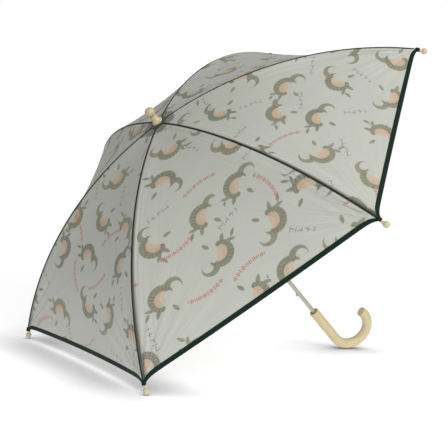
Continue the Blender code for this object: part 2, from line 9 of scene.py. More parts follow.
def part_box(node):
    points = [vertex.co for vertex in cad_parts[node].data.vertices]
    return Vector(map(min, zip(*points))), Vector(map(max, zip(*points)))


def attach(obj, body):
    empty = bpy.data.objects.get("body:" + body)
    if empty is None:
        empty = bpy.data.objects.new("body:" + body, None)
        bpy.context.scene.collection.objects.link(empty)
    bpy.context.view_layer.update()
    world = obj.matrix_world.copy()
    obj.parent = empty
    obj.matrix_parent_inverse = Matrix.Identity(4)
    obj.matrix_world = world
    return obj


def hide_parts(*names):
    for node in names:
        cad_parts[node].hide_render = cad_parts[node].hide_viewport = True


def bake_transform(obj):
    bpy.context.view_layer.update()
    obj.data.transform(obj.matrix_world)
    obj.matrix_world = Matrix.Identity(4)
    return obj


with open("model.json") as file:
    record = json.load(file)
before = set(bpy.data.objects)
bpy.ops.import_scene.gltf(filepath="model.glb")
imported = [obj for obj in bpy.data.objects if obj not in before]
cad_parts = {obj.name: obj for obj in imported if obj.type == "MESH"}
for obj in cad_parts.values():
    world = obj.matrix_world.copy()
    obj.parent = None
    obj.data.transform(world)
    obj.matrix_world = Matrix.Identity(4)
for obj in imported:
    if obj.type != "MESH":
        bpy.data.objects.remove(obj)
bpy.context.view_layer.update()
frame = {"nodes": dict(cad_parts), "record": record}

# ---------------------------------------------------------------- sizes, read from the frame

GORES = 6
STEP = 2 * math.pi / GORES
UP = np.array([0.0, 0.0, 1.0])


def node_points(name):
    """Places of a CAD node's vertices."""
    data = frame["nodes"][name].data.vertices
    points = np.empty(len(data) * 3)
    data.foreach_get("co", points)
    return points.reshape(-1, 3)


def unit(azimuth):
    """Level direction at an azimuth."""
    return np.array([math.cos(azimuth), math.sin(azimuth), 0.0])


def rib_frame(rib):
    """Directions at a rib's outer end: out along the rib, sideways, and up off the cloth."""
    out = unit(rib * STEP) * math.cos(RIM_ANGLE) - UP * math.sin(RIM_ANGLE)
    side = unit(rib * STEP + math.pi / 2)
    return out, side, np.cross(out, side)


ROSETTE_GAP = 0.0003        # from the canopy's apex up to the rosette
CROWN_OPENING = 1.25        # radius where the cloth starts, as a share of the panels' own
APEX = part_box("rosette")[0].z - ROSETTE_GAP
panel = node_points("panel_12a")
corner = panel[np.argmax(np.hypot(panel[:, 0], panel[:, 1]))]
RIM_RADIUS = float(np.hypot(corner[0], corner[1]))
RIM_DROP = APEX - float(corner[2])
ARC = (RIM_DROP ** 2 + RIM_RADIUS ** 2) / (2 * RIM_DROP)
ARC_CENTRE = APEX - ARC
RIM_ANGLE = math.asin(RIM_RADIUS / ARC)
SEAM_LENGTH = ARC * RIM_ANGLE
CLOTH_START = float(np.hypot(panel[:, 0], panel[:, 1]).min()) * CROWN_OPENING

# canopy cloth
CLOTH = 0.00030             # thickness
GORE_SAG = 0.0088           # how far a gore is pulled in at its middle
HEM_CUT = 0.0060            # how far the hem runs inside the corners
HEM_BEAK = 0.0062           # sideways length of the pointed bit at each corner
HEM_BLUNT = 0.0024          # half the width of the corner's blunt end
GORE_ROWS = 120             # mesh rows from crown to hem
GORE_COLUMNS = 56           # mesh columns from a seam to the gore's middle

# creases: heights, how far they reach before they fade, and where the cloth is held flat
CORNER_CREASE = 0.0019
CORNER_REACH = 0.060
CORNER_FLAT = 0.022         # they grow to full height over this distance from a corner
PLEAT = 0.00035
PLEAT_REACH = 0.024
PLEAT_PITCH = 0.0105
PLEAT_FINE_PITCH = 0.0062
SWELL = 0.0008              # broad, soft unevenness of a gore
SEAM_FLAT = 0.004           # they grow over this distance from a seam
HEM_FLAT = (0.004, 0.014)   # nothing this near the hem, then they grow over this distance
MIDDLE_FADE = 0.22          # share of the gore's width over which they fade out at its middle

# binding, seams and corner tabs
BINDING_WIDTH = 0.0068
BINDING_LIFT = 0.00045
BINDING_SAMPLES = 70
SEAM_SAMPLES = 120
SEAM_HALF = 0.0014
SEAM_HEIGHT = 0.0011
SEAM_SLOPE = 0.577          # fall of the cloth on both sides of a seam at the rim
TAB_LIFT = 0.0006
TAB_SIDES = 28

# closing strap and its stud
STRAP_GORE = 1
STRAP_MIDDLE = 0.42         # place between the gore's seams
STRAP_SPAN = (0.66, 0.95)   # places down the seam
STRAP_HALF = 0.008
STRAP_LIFT = 0.0007
STUD_PLACE = 0.92           # place down the seam
STUD_SINK = 0.0013          # from the stud's centre down to its foot

# frill under the cap
FRILL_INNER = 0.0044
FRILL_OUTER = 0.0132
FRILL_LIFT = 0.0006
FRILL_RISE = 0.00075
FRILL_WAVES = 17
FRILL_PRESSED = 0.0075      # the cap presses the frill inside this radius

# handle
HANDLE_SIDES = 56
HANDLE_SAMPLES = 150
HANDLE_EASE = 0.0013        # rounding of its ends
HANDLE_LIP = 0.0004         # rounding of the socket's mouth
SOCKET_RADIUS = 0.0052
SOCKET_DEPTH = 0.0105

# finial and ball tips
CAP_BORE = 0.0036
CAP_NECK = 0.0053
CAP_FLARE = 0.0075          # radius of the hollow between neck and skirt
CAP_BASE = 0.0016
TIP_NECK = 0.0022
TIP_BORE = 0.0011


# ---------------------------------------------------------------- node trees written as formulas

class Num:
    """A value in a node tree, with arithmetic."""

    def __init__(self, tree, socket):
        self.tree = tree
        self.socket = socket

    def op(self, operation, *others):
        node = self.tree.nodes.new("ShaderNodeMath")
        node.operation = operation
        for place, value in zip(node.inputs, (self,) + others):
            plug(self.tree, place, value)
        return Num(self.tree, node.outputs[0])

    def __add__(self, other):
        return self.op("ADD", other)

    def __sub__(self, other):
        return self.op("SUBTRACT", other)

    def __mul__(self, other):
        return self.op("MULTIPLY", other)

    def __truediv__(self, other):
        return self.op("DIVIDE", other)

    def __abs__(self):
        return self.op("ABSOLUTE")

    def sin(self):
        return self.op("SINE")

    def sqrt(self):
        return self.op("SQRT")

    def max(self, other):
        return self.op("MAXIMUM", other)

    def min(self, other):
        return self.op("MINIMUM", other)

    def power(self, other):
        return self.op("POWER", other)

    def under(self, edge, soft):
        """1 where the value is below the edge, 0 above it, with a soft change."""
        node = self.tree.nodes.new("ShaderNodeMapRange")
        node.interpolation_type = "SMOOTHSTEP"
        plug(self.tree, node.inputs["Value"], self)
        plug(self.tree, node.inputs["From Min"], edge - soft)
        plug(self.tree, node.inputs["From Max"], edge + soft)
        node.inputs["To Min"].default_value = 1.0
        node.inputs["To Max"].default_value = 0.0
        return Num(self.tree, node.outputs["Result"])


def plug(tree, place, value):
    """Sets an input, or links it where the value is a Num or a socket."""
    if isinstance(value, Num):
        tree.links.new(value.socket, place)
    elif isinstance(value, bpy.types.NodeSocket):
        tree.links.new(value, place)
    elif isinstance(value, (tuple, list)):
        place.default_value = (*value, 1.0) if len(value) == 3 and place.type == "RGBA" else value
    else:
        place.default_value = value


def noise(tree, vector, scale, detail):
    node = tree.nodes.new("ShaderNodeTexNoise")
    plug(tree, node.inputs["Vector"], vector)
    node.inputs["Scale"].default_value = scale
    node.inputs["Detail"].default_value = detail
    return Num(tree, node.outputs[0])


def mix(tree, amount, first, second, blend="MIX"):
    node = tree.nodes.new("ShaderNodeMix")
    node.data_type = "RGBA"
    node.blend_type = blend
    plug(tree, node.inputs["Factor"], amount)
    plug(tree, node.inputs["A"], first)
    plug(tree, node.inputs["B"], second)
    return node.outputs["Result"]


def stretched(tree, vector, scale):
    node = tree.nodes.new("ShaderNodeMapping")
    plug(tree, node.inputs["Vector"], vector)
    node.inputs["Scale"].default_value = scale
    return node.outputs["Vector"]


def new_material(name, roughness=0.5, metallic=0.0):
    made = bpy.data.materials.new(name)
    made.use_nodes = True
    tree = made.node_tree
    shader = tree.nodes["Principled BSDF"]
    shader.inputs["Roughness"].default_value = roughness
    shader.inputs["Metallic"].default_value = metallic
    return made, tree, shader


def bump(tree, shader, height, strength, distance):
    node = tree.nodes.new("ShaderNodeBump")
    plug(tree, node.inputs["Height"], height)
    node.inputs["Strength"].default_value = strength
    node.inputs["Distance"].default_value = distance
    tree.links.new(node.outputs["Normal"], shader.inputs["Normal"])


def place_of(tree):
    return tree.nodes.new("ShaderNodeTexCoord").outputs["Object"]


def uv_pair(tree, name):
    """A UV layer's vector and its two values."""
    node = tree.nodes.new("ShaderNodeUVMap")
    node.uv_map = name
    split = tree.nodes.new("ShaderNodeSeparateXYZ")
    tree.links.new(node.outputs["UV"], split.inputs[0])
    return node.outputs["UV"], Num(tree, split.outputs["X"]), Num(tree, split.outputs["Y"])


# ---------------------------------------------------------------- plain materials

DRAWN_STREAKS = (900.0, 900.0, 14.0)
FINE_MARKS = (400.0, 400.0, 400.0)
COARSE_MARKS = (300.0, 300.0, 300.0)
TAPE_RIB = 0.0007           # pitch of the ribs across a tape
TAPE_YARN = 0.0009          # pitch of its yarns, as a share of its width
STITCH = 0.0028             # pitch of its stitches


def shades(colour, part):
    """The colour made darker and lighter by a part of itself."""
    return tuple(c * (1 - part) for c in colour), tuple(c * (1 + part) for c in colour)


def plastic(name, colour, roughness):
    """Moulded plastic: faint clouding and a very fine grain."""
    made, tree, shader = new_material(name, roughness)
    place = place_of(tree)
    clouds = noise(tree, place, scale=55.0, detail=3.0)
    plug(tree, shader.inputs["Base Color"], mix(tree, clouds, *shades(colour, 0.10)))
    grain = noise(tree, place, scale=1400.0, detail=2.0)
    plug(tree, shader.inputs["Roughness"], grain * 0.12 + (roughness - 0.06))
    bump(tree, shader, grain, 0.25, 0.0001)
    shader.inputs["Coat Weight"].default_value = 0.12
    shader.inputs["Coat Roughness"].default_value = 0.25
    return made


def metal(name, colour, roughness, metallic, streaks):
    """Drawn or coated metal; streaks is how fine its marks are along X, Y and Z."""
    made, tree, shader = new_material(name, roughness, metallic)
    drawn = noise(tree, stretched(tree, place_of(tree), streaks), scale=1.0, detail=3.0)
    plug(tree, shader.inputs["Base Color"], mix(tree, drawn, *shades(colour, 0.12)))
    plug(tree, shader.inputs["Roughness"], drawn * 0.16 + (roughness - 0.08))
    bump(tree, shader, drawn, 0.15, 0.00005)
    return made


def wave(value, pitch):
    """Sine of a Num that repeats at the pitch."""
    return (value * (2 * math.pi / pitch)).sin()


def tape(name, colour):
    """Woven tape: ribs across its width, small tonal changes, and two rows of stitches."""
    made, tree, shader = new_material(name, 0.62)
    _, along, across = uv_pair(tree, "tape")
    rib = wave(along, TAPE_RIB)
    weave = rib * wave(across, TAPE_YARN)
    patchy = noise(tree, place_of(tree), scale=160.0, detail=3.0)
    ground = mix(tree, patchy, tuple(c * 0.72 for c in colour), tuple(c * 1.35 for c in colour))
    row = abs(abs(across - 0.5) - 0.36).under(0.035, 0.02)
    dash = wave(along, STITCH).under(0.2, 0.3)
    stitched = mix(tree, row * dash * 0.5, ground, tuple(c * 2.0 + 0.004 for c in colour))
    plug(tree, shader.inputs["Base Color"], stitched)
    shader.inputs["Specular IOR Level"].default_value = 0.12
    bump(tree, shader, weave * 0.25 + rib * 0.35 - row * dash * 1.2, 0.35, 0.00012)
    return made


# ---------------------------------------------------------------- printed canopy cloth

GROUND = (0.456, 0.468, 0.415)
SAGE = (0.178, 0.192, 0.138)
SAGE_WARM = (0.235, 0.225, 0.152)
PEACH = (0.520, 0.385, 0.265)
PEACH_PALE = (0.500, 0.400, 0.290)
RUST = (0.420, 0.130, 0.085)
INK = (0.110, 0.120, 0.095)
SPRIG_PITCH = 0.086         # size of a printed cell
SPRIG_UNIT = 0.032          # size of 1 in sprig's drawing
MARK_UNIT = 0.031           # size of 1 in the drawings of the strokes and twigs
SPRIG_LOOSENESS = 0.38
MARK_LOOSENESS = 0.22
MARK_SHIFT = 0.5
YARN = 0.0006               # pitch of the weave

# painted shade of dark things behind the thin cloth: the rib's shadow beside each seam, a dark line along
# each seam, and the crown's lining patch
RIB_SHADE = (0.062, 0.062, 0.042)
RIB_EDGE_SHADE = (0.030, 0.034, 0.026)
PATCH_SHADE = (0.085, 0.095, 0.080)
PATCH_RADIUS = 0.0345


def turned_cell(tree, uv, looseness, shift, drawing_unit):
    """Loose cells of the cloth: x and y in the drawing's unit, turned at random, and three chances."""
    moved = tree.nodes.new("ShaderNodeMapping")
    plug(tree, moved.inputs["Vector"], uv)
    moved.inputs["Location"].default_value = (shift, shift, 0)
    moved.inputs["Scale"].default_value = (1 / SPRIG_PITCH, 1 / SPRIG_PITCH, 1)
    cells = tree.nodes.new("ShaderNodeTexVoronoi")
    cells.voronoi_dimensions = "2D"
    cells.inputs["Scale"].default_value = 1.0
    cells.inputs["Randomness"].default_value = looseness
    tree.links.new(moved.outputs["Vector"], cells.inputs["Vector"])
    away = tree.nodes.new("ShaderNodeVectorMath")
    away.operation = "SUBTRACT"
    tree.links.new(moved.outputs["Vector"], away.inputs[0])
    tree.links.new(cells.outputs["Position"], away.inputs[1])
    colours = tree.nodes.new("ShaderNodeSeparateColor")
    tree.links.new(cells.outputs["Color"], colours.inputs[0])
    chance = [Num(tree, output) for output in colours.outputs]
    turn = tree.nodes.new("ShaderNodeVectorRotate")
    turn.rotation_type = "Z_AXIS"
    tree.links.new(away.outputs["Vector"], turn.inputs["Vector"])
    plug(tree, turn.inputs["Angle"], chance[0] * (2 * math.pi * 3))
    split = tree.nodes.new("ShaderNodeSeparateXYZ")
    tree.links.new(turn.outputs["Vector"], split.inputs[0])
    size = SPRIG_PITCH / drawing_unit
    return Num(tree, split.outputs["X"]) * size, Num(tree, split.outputs["Y"]) * size, chance


def bent_leaf(x, y, centre, radius, middle, span, width, taper=0.5):
    """Leaf along an arc. Gives its mask, the places along and across it, and its drawn outline."""
    dx = x - centre[0]
    dy = y - centre[1]
    ahead = dx * math.cos(middle) + dy * math.sin(middle)
    aside = dy * math.cos(middle) - dx * math.sin(middle)
    share = aside.op("ARCTAN2", ahead) / span + 0.5
    start = share.max(0.0).min(1.0)
    finish = start * -1.0 + 1.0
    swell = start.power(taper) * finish.power(1.5 - taper) * (width * 2.0)
    across = (dx * dx + dy * dy).sqrt() - radius
    outline = abs(abs(across) - swell + 0.012).under(0.012, 0.012)
    return (abs(across) - swell).under(-0.022, 0.022), share, across / width, outline


def pointed_leaf(x, y, root, turn, length, width):
    """Mask of a straight leaf from its root."""
    dx = x - root[0]
    dy = y - root[1]
    along = (dx * math.cos(turn) + dy * math.sin(turn)) / length
    across = dy * math.cos(turn) - dx * math.sin(turn)
    held = along.max(0.0).min(1.0)
    swell = held.power(0.6) * (held * -1.0 + 1.0).power(0.8) * (width * 2.0)
    return (abs(across) - swell).under(-0.022, 0.022)


def sprig(x, y):
    """Curled leaf with a tendril and small leaves: masks of its sage, belly, drawn lines and fringe."""
    back, share, across, outline = bent_leaf(x, y, (-0.10, -0.08), 0.50, 0.9, 4.4, 0.38)
    wash, _, _, _ = bent_leaf(x, y, (-0.19, -0.05), 0.52, 0.9, 4.2, 0.40)
    belly, _, _, _ = bent_leaf(x, y, (-0.20, -0.18), 0.34, 0.70, 2.8, 0.36)
    tendril, _, _, curl = bent_leaf(x, y, (-0.74, 0.20), 0.36, 2.0, 4.2, 0.17, 0.25)
    stalk, _, _, _ = bent_leaf(x, y, (0.75, 0.30), 0.72, 4.55, 1.5, 0.045)
    leaves = pointed_leaf(x, y, (0.30, -0.46), -0.95, 0.52, 0.16)
    leaves = leaves.max(pointed_leaf(x, y, (0.52, -0.40), 0.35, 0.50, 0.14))
    leaves = leaves.max(pointed_leaf(x, y, (0.80, -0.42), -0.75, 0.46, 0.13))
    leaves = leaves.max(pointed_leaf(x, y, (-0.30, -0.58), -2.0, 0.46, 0.15))
    rows = (share * 95.0).sin().under(-0.55, 0.25) * (across - 0.25).under(0.75, 0.15)
    vein = (abs(across + 0.10) - 0.03).under(0.0, 0.05)
    sage = back.max(tendril).max(leaves).max(stalk)
    fine = (back * (rows * 0.62).max(vein).max(outline)).max(tendril * curl)
    return sage, belly, fine, wash


def dashed_arc(x, y):
    """Short uneven strokes in a row along a shallow arc, with a thin line under them."""
    dy = y + 2.3
    radius = (x * x + dy * dy).sqrt()
    centred = x.op("ARCTAN2", dy)
    uneven = (centred * 71.0).sin() * 0.035
    row = (abs(radius - 2.3) - uneven).under(0.085, 0.02)
    strokes = ((centred * 150.0).sin() + (centred * 43.0).sin() * 0.4).under(0.15, 0.45)
    return row * strokes * abs(centred).under(0.42, 0.01)


def twig(x, y):
    """Thin broken line with a few short side strokes."""
    line = (abs(y + (x * 9.0).sin() * 0.05) - 0.022).under(0.0, 0.015)
    gaps = (x * 17.0).sin().under(0.35, 0.25)
    strokes = (abs((x * 11.0).sin()) - 0.16).under(0.0, 0.10) * (abs(y) - 0.13).under(0.0, 0.03)
    return (line * gaps).max(strokes) * abs(x).under(0.62, 0.02)


def joined(tree, x, y):
    """Vector of two Nums."""
    node = tree.nodes.new("ShaderNodeCombineXYZ")
    plug(tree, node.inputs["X"], x)
    plug(tree, node.inputs["Y"], y)
    return node.outputs["Vector"]


def grey_colour(tree, levels):
    """Colour of three levels, each a Num."""
    node = tree.nodes.new("ShaderNodeCombineColor")
    for place, level in zip(node.inputs, levels):
        plug(tree, place, level)
    return node.outputs["Color"]


def painted_crease_shading(tree, seam, down):
    """Painted light and shade of the creases: streaks that fan out from each corner and run beside the
    seams, as the folds catch light.
    """
    from_seam = abs(seam)
    to_hem = down * -1.0 + SEAM_LENGTH
    reach = (from_seam * from_seam + to_hem * to_hem).sqrt()
    side = seam.under(0.0, 0.0001) * 7.3
    fan = from_seam.op("ARCTAN2", to_hem + 0.004) * 24.0 + side
    fine = noise(tree, joined(tree, fan, reach * 9.0), scale=1.0, detail=3.0)
    rows = joined(tree, from_seam * 260.0 + side, down * 7.0)
    pleats = noise(tree, rows, scale=1.0, detail=2.0)
    # painted crease shading: light and dark streaks fanning from the corner, and beside the seam
    corner = (reach * -15.0).op("EXPONENT") * (fine - 0.5)
    beside = (from_seam * -45.0).op("EXPONENT") * (pleats - 0.5) * 0.7
    crease_light_and_shade = (corner + beside + 1.0).max(0.45).min(1.35)
    return grey_colour(tree, (crease_light_and_shade, crease_light_and_shade, crease_light_and_shade))


def painted_rib_and_patch_shade(tree, colour, seam, down, wash):
    """Paints shade on the thin cloth: the rib's shadow as a band on one side of each seam, a dark line
    along the seam where the rib lies behind it, and a dark patch where the crown's lining lies behind it.
    """
    from_seam = abs(seam)
    run = down / SEAM_LENGTH
    swell = run * run
    behind = seam.under(0.0, 0.0002) * -1.0 + 1.0
    spread = swell * (behind * 0.0022 + 0.0008)
    # painted shade: a dark line on the cloth along each seam, where the rib lies behind it
    edge = (from_seam + wash * 0.0006 - spread).under(0.0021, 0.0008)
    # painted shadow of the rib: a band on one side of the seam, widening towards the corner
    shade = (from_seam / (swell * 0.0068 + 0.0044)).under(0.72, 0.28) * behind
    # painted shade where the crown's lining patch lies behind the cloth
    lobes = (from_seam / 0.016).min(1.0) * 0.18 + 0.82
    patch = (down / lobes).under(PATCH_RADIUS, 0.0025)
    colour = mix(tree, shade * (swell * 0.22 + 0.54), colour, RIB_SHADE)
    colour = mix(tree, edge * 0.74, colour, RIB_EDGE_SHADE)
    return mix(tree, patch * 0.72, colour, PATCH_SHADE)


def print_sprigs(tree, colour, uv, wash):
    """Prints the leaf sprigs over a colour: fringe, sage, belly and drawn lines."""
    x, y, chance = turned_cell(tree, uv, SPRIG_LOOSENESS, 0.0, SPRIG_UNIT)
    sage, peach, fine, fringe = sprig(x, y)
    colour = mix(tree, fringe * 0.55, colour, PEACH_PALE)
    colour = mix(tree, sage * (wash * 0.45 + 0.66), colour, mix(tree, chance[1], SAGE, SAGE_WARM))
    colour = mix(tree, peach * 0.88, colour, mix(tree, chance[2], PEACH, PEACH_PALE))
    return mix(tree, fine * (peach * -0.8 + 1.0) * 0.70, colour, INK)


def print_marks(tree, colour, uv):
    """Prints either a rusty row of strokes or a dark twig in each of the cells between the sprigs."""
    x, y, chance = turned_cell(tree, uv, MARK_LOOSENESS, MARK_SHIFT, MARK_UNIT)
    rusty = chance[1].under(0.45, 0.01)
    colour = mix(tree, dashed_arc(x, y) * rusty * 0.85, colour, RUST)
    return mix(tree, twig(x, y) * (rusty * -1.0 + 1.0) * 0.75, colour, INK)


def cloth_material():
    """Printed satin, with painted light and shade of its creases, and painted shade of the dark rib and the
    crown's lining patch behind it.
    """
    made, tree, shader = new_material("canopy_cloth")
    uv, across, along = uv_pair(tree, "cloth")
    _, seam, down = uv_pair(tree, "gore")
    wash = noise(tree, uv, scale=120.0, detail=4.0)
    cloud = noise(tree, uv, scale=14.0, detail=3.0)
    colour = mix(tree, cloud, *shades(GROUND, 0.05))
    colour = print_sprigs(tree, colour, uv, wash)
    colour = print_marks(tree, colour, uv)
    # painted light and shade of the creases and pleats
    colour = mix(tree, 1.0, colour, painted_crease_shading(tree, seam, down), "MULTIPLY")
    # painted shade of the rib and the crown's patch behind the cloth
    colour = painted_rib_and_patch_shade(tree, colour, seam, down, wash)
    plug(tree, shader.inputs["Base Color"], colour)
    shader.inputs["Sheen Weight"].default_value = 0.06
    shader.inputs["Sheen Roughness"].default_value = 0.35
    plug(tree, shader.inputs["Roughness"], wash * 0.10 + 0.40)
    weave = wave(across, YARN) * wave(along, YARN)
    bump(tree, shader, weave * 0.2 + wash, 0.10, 0.0001)
    return made


def lining_material():
    """Back of the same cloth: the print shows faintly."""
    made, tree, shader = new_material("canopy_lining", 0.55)
    uv, _, _ = uv_pair(tree, "cloth")
    x, y, _ = turned_cell(tree, uv, SPRIG_LOOSENESS, 0.0, SPRIG_UNIT)
    sage, peach, _, _ = sprig(x, y)
    cloud = noise(tree, uv, scale=40.0, detail=3.0)
    ground = mix(tree, cloud, (0.43, 0.45, 0.40), (0.48, 0.50, 0.45))
    colour = mix(tree, sage * 0.40, ground, SAGE)
    colour = mix(tree, peach * 0.35, colour, PEACH)
    plug(tree, shader.inputs["Base Color"], colour)
    bump(tree, shader, cloud, 0.1, 0.0001)
    return made


# ---------------------------------------------------------------- mesh building

SHARP_ANGLE = 40.0


def mesh_object(name, points, faces, material):
    mesh = bpy.data.meshes.new(name)
    mesh.from_pydata([tuple(p) for p in points], [], faces)
    mesh.validate()
    mesh.update()
    obj = bpy.data.objects.new(name, mesh)
    bpy.context.scene.collection.objects.link(obj)
    mesh.materials.append(material)
    mesh.shade_smooth()
    mesh.set_sharp_from_angle(angle=math.radians(SHARP_ANGLE))
    return obj


def add_uv(obj, name, per_point):
    """UV layer from one pair of values per vertex."""
    layer = obj.data.uv_layers.new(name=name)
    index = np.empty(len(obj.data.loops), np.int32)
    obj.data.loops.foreach_get("vertex_index", index)
    layer.data.foreach_set("uv", np.asarray(per_point, np.float32)[index].ravel())


def grid_faces(rows, columns, offset=0, flip=False):
    faces = []
    for i in range(rows - 1):
        for j in range(columns - 1):
            a = offset + i * columns + j
            face = (a, a + columns, a + columns + 1, a + 1)
            faces.append(face[::-1] if flip else face)
    return faces


def rim_loop(rows, columns):
    """Indices round a grid's border, in order."""
    top = list(range(columns))
    right = [i * columns + columns - 1 for i in range(1, rows)]
    foot = [(rows - 1) * columns + j for j in range(columns - 2, -1, -1)]
    left = [i * columns for i in range(rows - 2, 0, -1)]
    return top + right + foot + left


def grid_normals(grid):
    """Unit normals of a grid of points."""
    down = np.gradient(grid, axis=0)
    side = np.gradient(grid, axis=1)
    normal = np.cross(down, side)
    return normal / np.linalg.norm(normal, axis=2, keepdims=True)


def shell(name, grid, lift, drop, materials, uvs):
    """Closed thin sheet about a grid of points; its outer side is where z is higher."""
    rows, columns = grid.shape[:2]
    normal = grid_normals(grid)
    outward = normal[..., 2].mean() >= 0
    if not outward:
        normal = -normal
    outer = (grid + normal * lift).reshape(-1, 3)
    inner = (grid - normal * drop).reshape(-1, 3)
    count = rows * columns
    faces = grid_faces(rows, columns, 0, not outward)
    lining = grid_faces(rows, columns, count, outward)
    loop = rim_loop(rows, columns)
    sides = []
    for a, b in zip(loop, loop[1:] + loop[:1]):
        face = (a, b, b + count, a + count)
        sides.append(face if outward else face[::-1])
    obj = mesh_object(name, np.vstack([outer, inner]), faces + lining + sides, materials[0])
    if len(materials) > 1:
        obj.data.materials.append(materials[1])
        index = np.zeros(len(obj.data.polygons), np.int32)
        index[len(faces):len(faces) + len(lining)] = 1
        obj.data.polygons.foreach_set("material_index", index)
    for uv_name, pairs in uvs:
        flat = np.asarray(pairs).reshape(-1, 2)
        add_uv(obj, uv_name, np.vstack([flat, flat]))
    return obj


def sweep(name, path, rings, material, across_uv=None):
    """Closed solid from rings of points along a path; both ends are capped. Tape gets its UV layer."""
    rings = np.asarray(rings)
    count, sides = rings.shape[:2]
    faces = []
    for i in range(count - 1):
        for j in range(sides):
            k = (j + 1) % sides
            faces.append((i * sides + j, i * sides + k, (i + 1) * sides + k, (i + 1) * sides + j))
    faces.append(tuple(range(sides))[::-1])
    faces.append(tuple((count - 1) * sides + j for j in range(sides)))
    obj = mesh_object(name, rings.reshape(-1, 3), faces, material)
    mesh = obj.data
    volume = sum(p.center.dot(p.normal) * p.area for p in mesh.polygons)
    if volume < 0:
        mesh.flip_normals()
    if across_uv is not None:
        run = np.concatenate([[0], np.cumsum(np.linalg.norm(np.diff(path, axis=0), axis=1))])
        pairs = np.stack(np.broadcast_arrays(run[:, None], np.asarray(across_uv)[None, :]), axis=-1)
        add_uv(obj, "tape", pairs.reshape(-1, 2))
    return obj


def band_faces(upper, lower, steps):
    """Faces between two rings of indices; a ring of one index is a point on the axis."""
    for j in range(steps):
        k = (j + 1) % steps
        if len(upper) == 1:
            yield upper[0], lower[j], lower[k]
        elif len(lower) == 1:
            yield upper[j], lower[0], upper[k]
        else:
            yield upper[j], lower[j], lower[k], upper[k]


def turned_solid(name, profile, place, material, steps=48):
    """Profile of (radius, height) pairs turned about local Z. Its ends are on the axis, or it is a ring."""
    points = []
    rings = []
    for radius, height in profile:
        count = steps if radius > 0 else 1
        rings.append(list(range(len(points), len(points) + count)))
        for step in range(count):
            angle = 2 * math.pi * step / steps
            points.append((radius * math.cos(angle), radius * math.sin(angle), height))
    pairs = list(zip(rings, rings[1:]))
    if len(rings[0]) > 1 and len(rings[-1]) > 1:
        pairs.append((rings[-1], rings[0]))
    faces = [face for upper, lower in pairs for face in band_faces(upper, lower, steps)]
    obj = mesh_object(name, points, faces, material)
    obj.data.transform(place)
    return obj


def arc_profile(centre, radius, start, end, steps):
    """Points of an arc in a profile, from a start to an end in degrees."""
    found = []
    for step in range(steps + 1):
        angle = math.radians(start + (end - start) * step / steps)
        found.append((centre[0] + radius * math.cos(angle), centre[1] + radius * math.sin(angle)))
    return found


def frame_matrix(place, x, y, z):
    """Matrix that puts a piece's origin at a place and its axes along three directions."""
    turn = Matrix((Vector(x), Vector(y), Vector(z))).transposed().to_4x4()
    return Matrix.Translation(Vector(place)) @ turn


# ---------------------------------------------------------------- canopy

def hem_share(across):
    """How far the hem runs inside the corners, as a share of a seam's length."""
    from_corner = np.maximum(np.minimum(across, 1 - across) * RIM_RADIUS - HEM_BLUNT, 0)
    return HEM_CUT / SEAM_LENGTH * (1 - np.exp(-from_corner / HEM_BEAK))


def canopy_points(gore, along, across):
    """Outer face of a gore, apex to hem and seam to seam, for arrays of places from 0 to 1."""
    along, across = np.broadcast_arrays(along, across)
    bow = 4 * across * (1 - across)
    angle = RIM_ANGLE * along * (1 - hem_share(across) * along)
    radius = (ARC * np.sin(angle))[..., None]
    start = unit(gore * STEP)
    end = unit((gore + 1) * STEP)
    share = across[..., None]
    points = radius * (start * (1 - share) + end * share)
    points[..., 2] = ARC_CENTRE + ARC * np.cos(angle)
    middle = unit((gore + 0.5) * STEP)
    inward = -middle * np.sin(angle)[..., None] - UP * np.cos(angle)[..., None]
    return points + inward * (GORE_SAG * bow * along * (2 - along))[..., None]


def face_normals(gore, along, across):
    """Outward normals of the smooth gore."""
    step = 1e-3
    down = canopy_points(gore, along + step, across) - canopy_points(gore, along - step, across)
    side = canopy_points(gore, along, across + step) - canopy_points(gore, along, across - step)
    normal = np.cross(down, side)
    return normal / np.linalg.norm(normal, axis=-1, keepdims=True)


def creases(rib, side, along, near):
    """Height of the tension creases at a corner and of the pleats beside its seam."""
    seed = rib * 1.7 + side * 2.9
    from_seam = near * RIM_RADIUS * along
    from_hem = (1 - along) * SEAM_LENGTH
    reach = np.hypot(from_seam, from_hem)
    spread = np.arctan2(from_seam, from_hem + 0.004)
    window = np.clip((0.5 - near) / MIDDLE_FADE, 0, 1)
    held = np.clip(from_seam / SEAM_FLAT, 0, 1) * np.clip((from_hem - HEM_FLAT[0]) / HEM_FLAT[1], 0, 1)
    fan = np.sin(spread * 23 + seed) * 0.6 + np.sin(spread * 41 + seed * 2.3) * 0.4
    corner = CORNER_CREASE * fan * np.exp(-reach / CORNER_REACH) * np.clip(reach / CORNER_FLAT, 0, 1)
    wander = 0.7 * np.sin(from_hem * 21 + seed) + 0.4 * np.sin(from_hem * 47 + seed * 1.3)
    pleat = np.sin(from_seam * 2 * math.pi / PLEAT_PITCH + wander + seed)
    pleat = pleat + 0.5 * np.sin(from_seam * 2 * math.pi / PLEAT_FINE_PITCH - wander * 1.4 + seed * 3)
    beside = PLEAT * pleat * np.exp(-from_seam / PLEAT_REACH) * np.clip(along * 1.6 - 0.2, 0, 1)
    broad = SWELL * np.sin(along * 9 + seed) * np.sin(near * 11 + seed) * along
    return (corner + beside + broad) * window * held


def cloth_face(gore, side, along, near):
    """Outer face of half a gore, creases included. near runs from the seam (0) to the middle (0.5)."""
    along, near = np.broadcast_arrays(along, near)
    across = near if side == 0 else 1 - near
    rib = (gore + side) % GORES
    lift = creases(rib, side, along, near)[..., None]
    return canopy_points(gore, along, across) + face_normals(gore, along, across) * lift


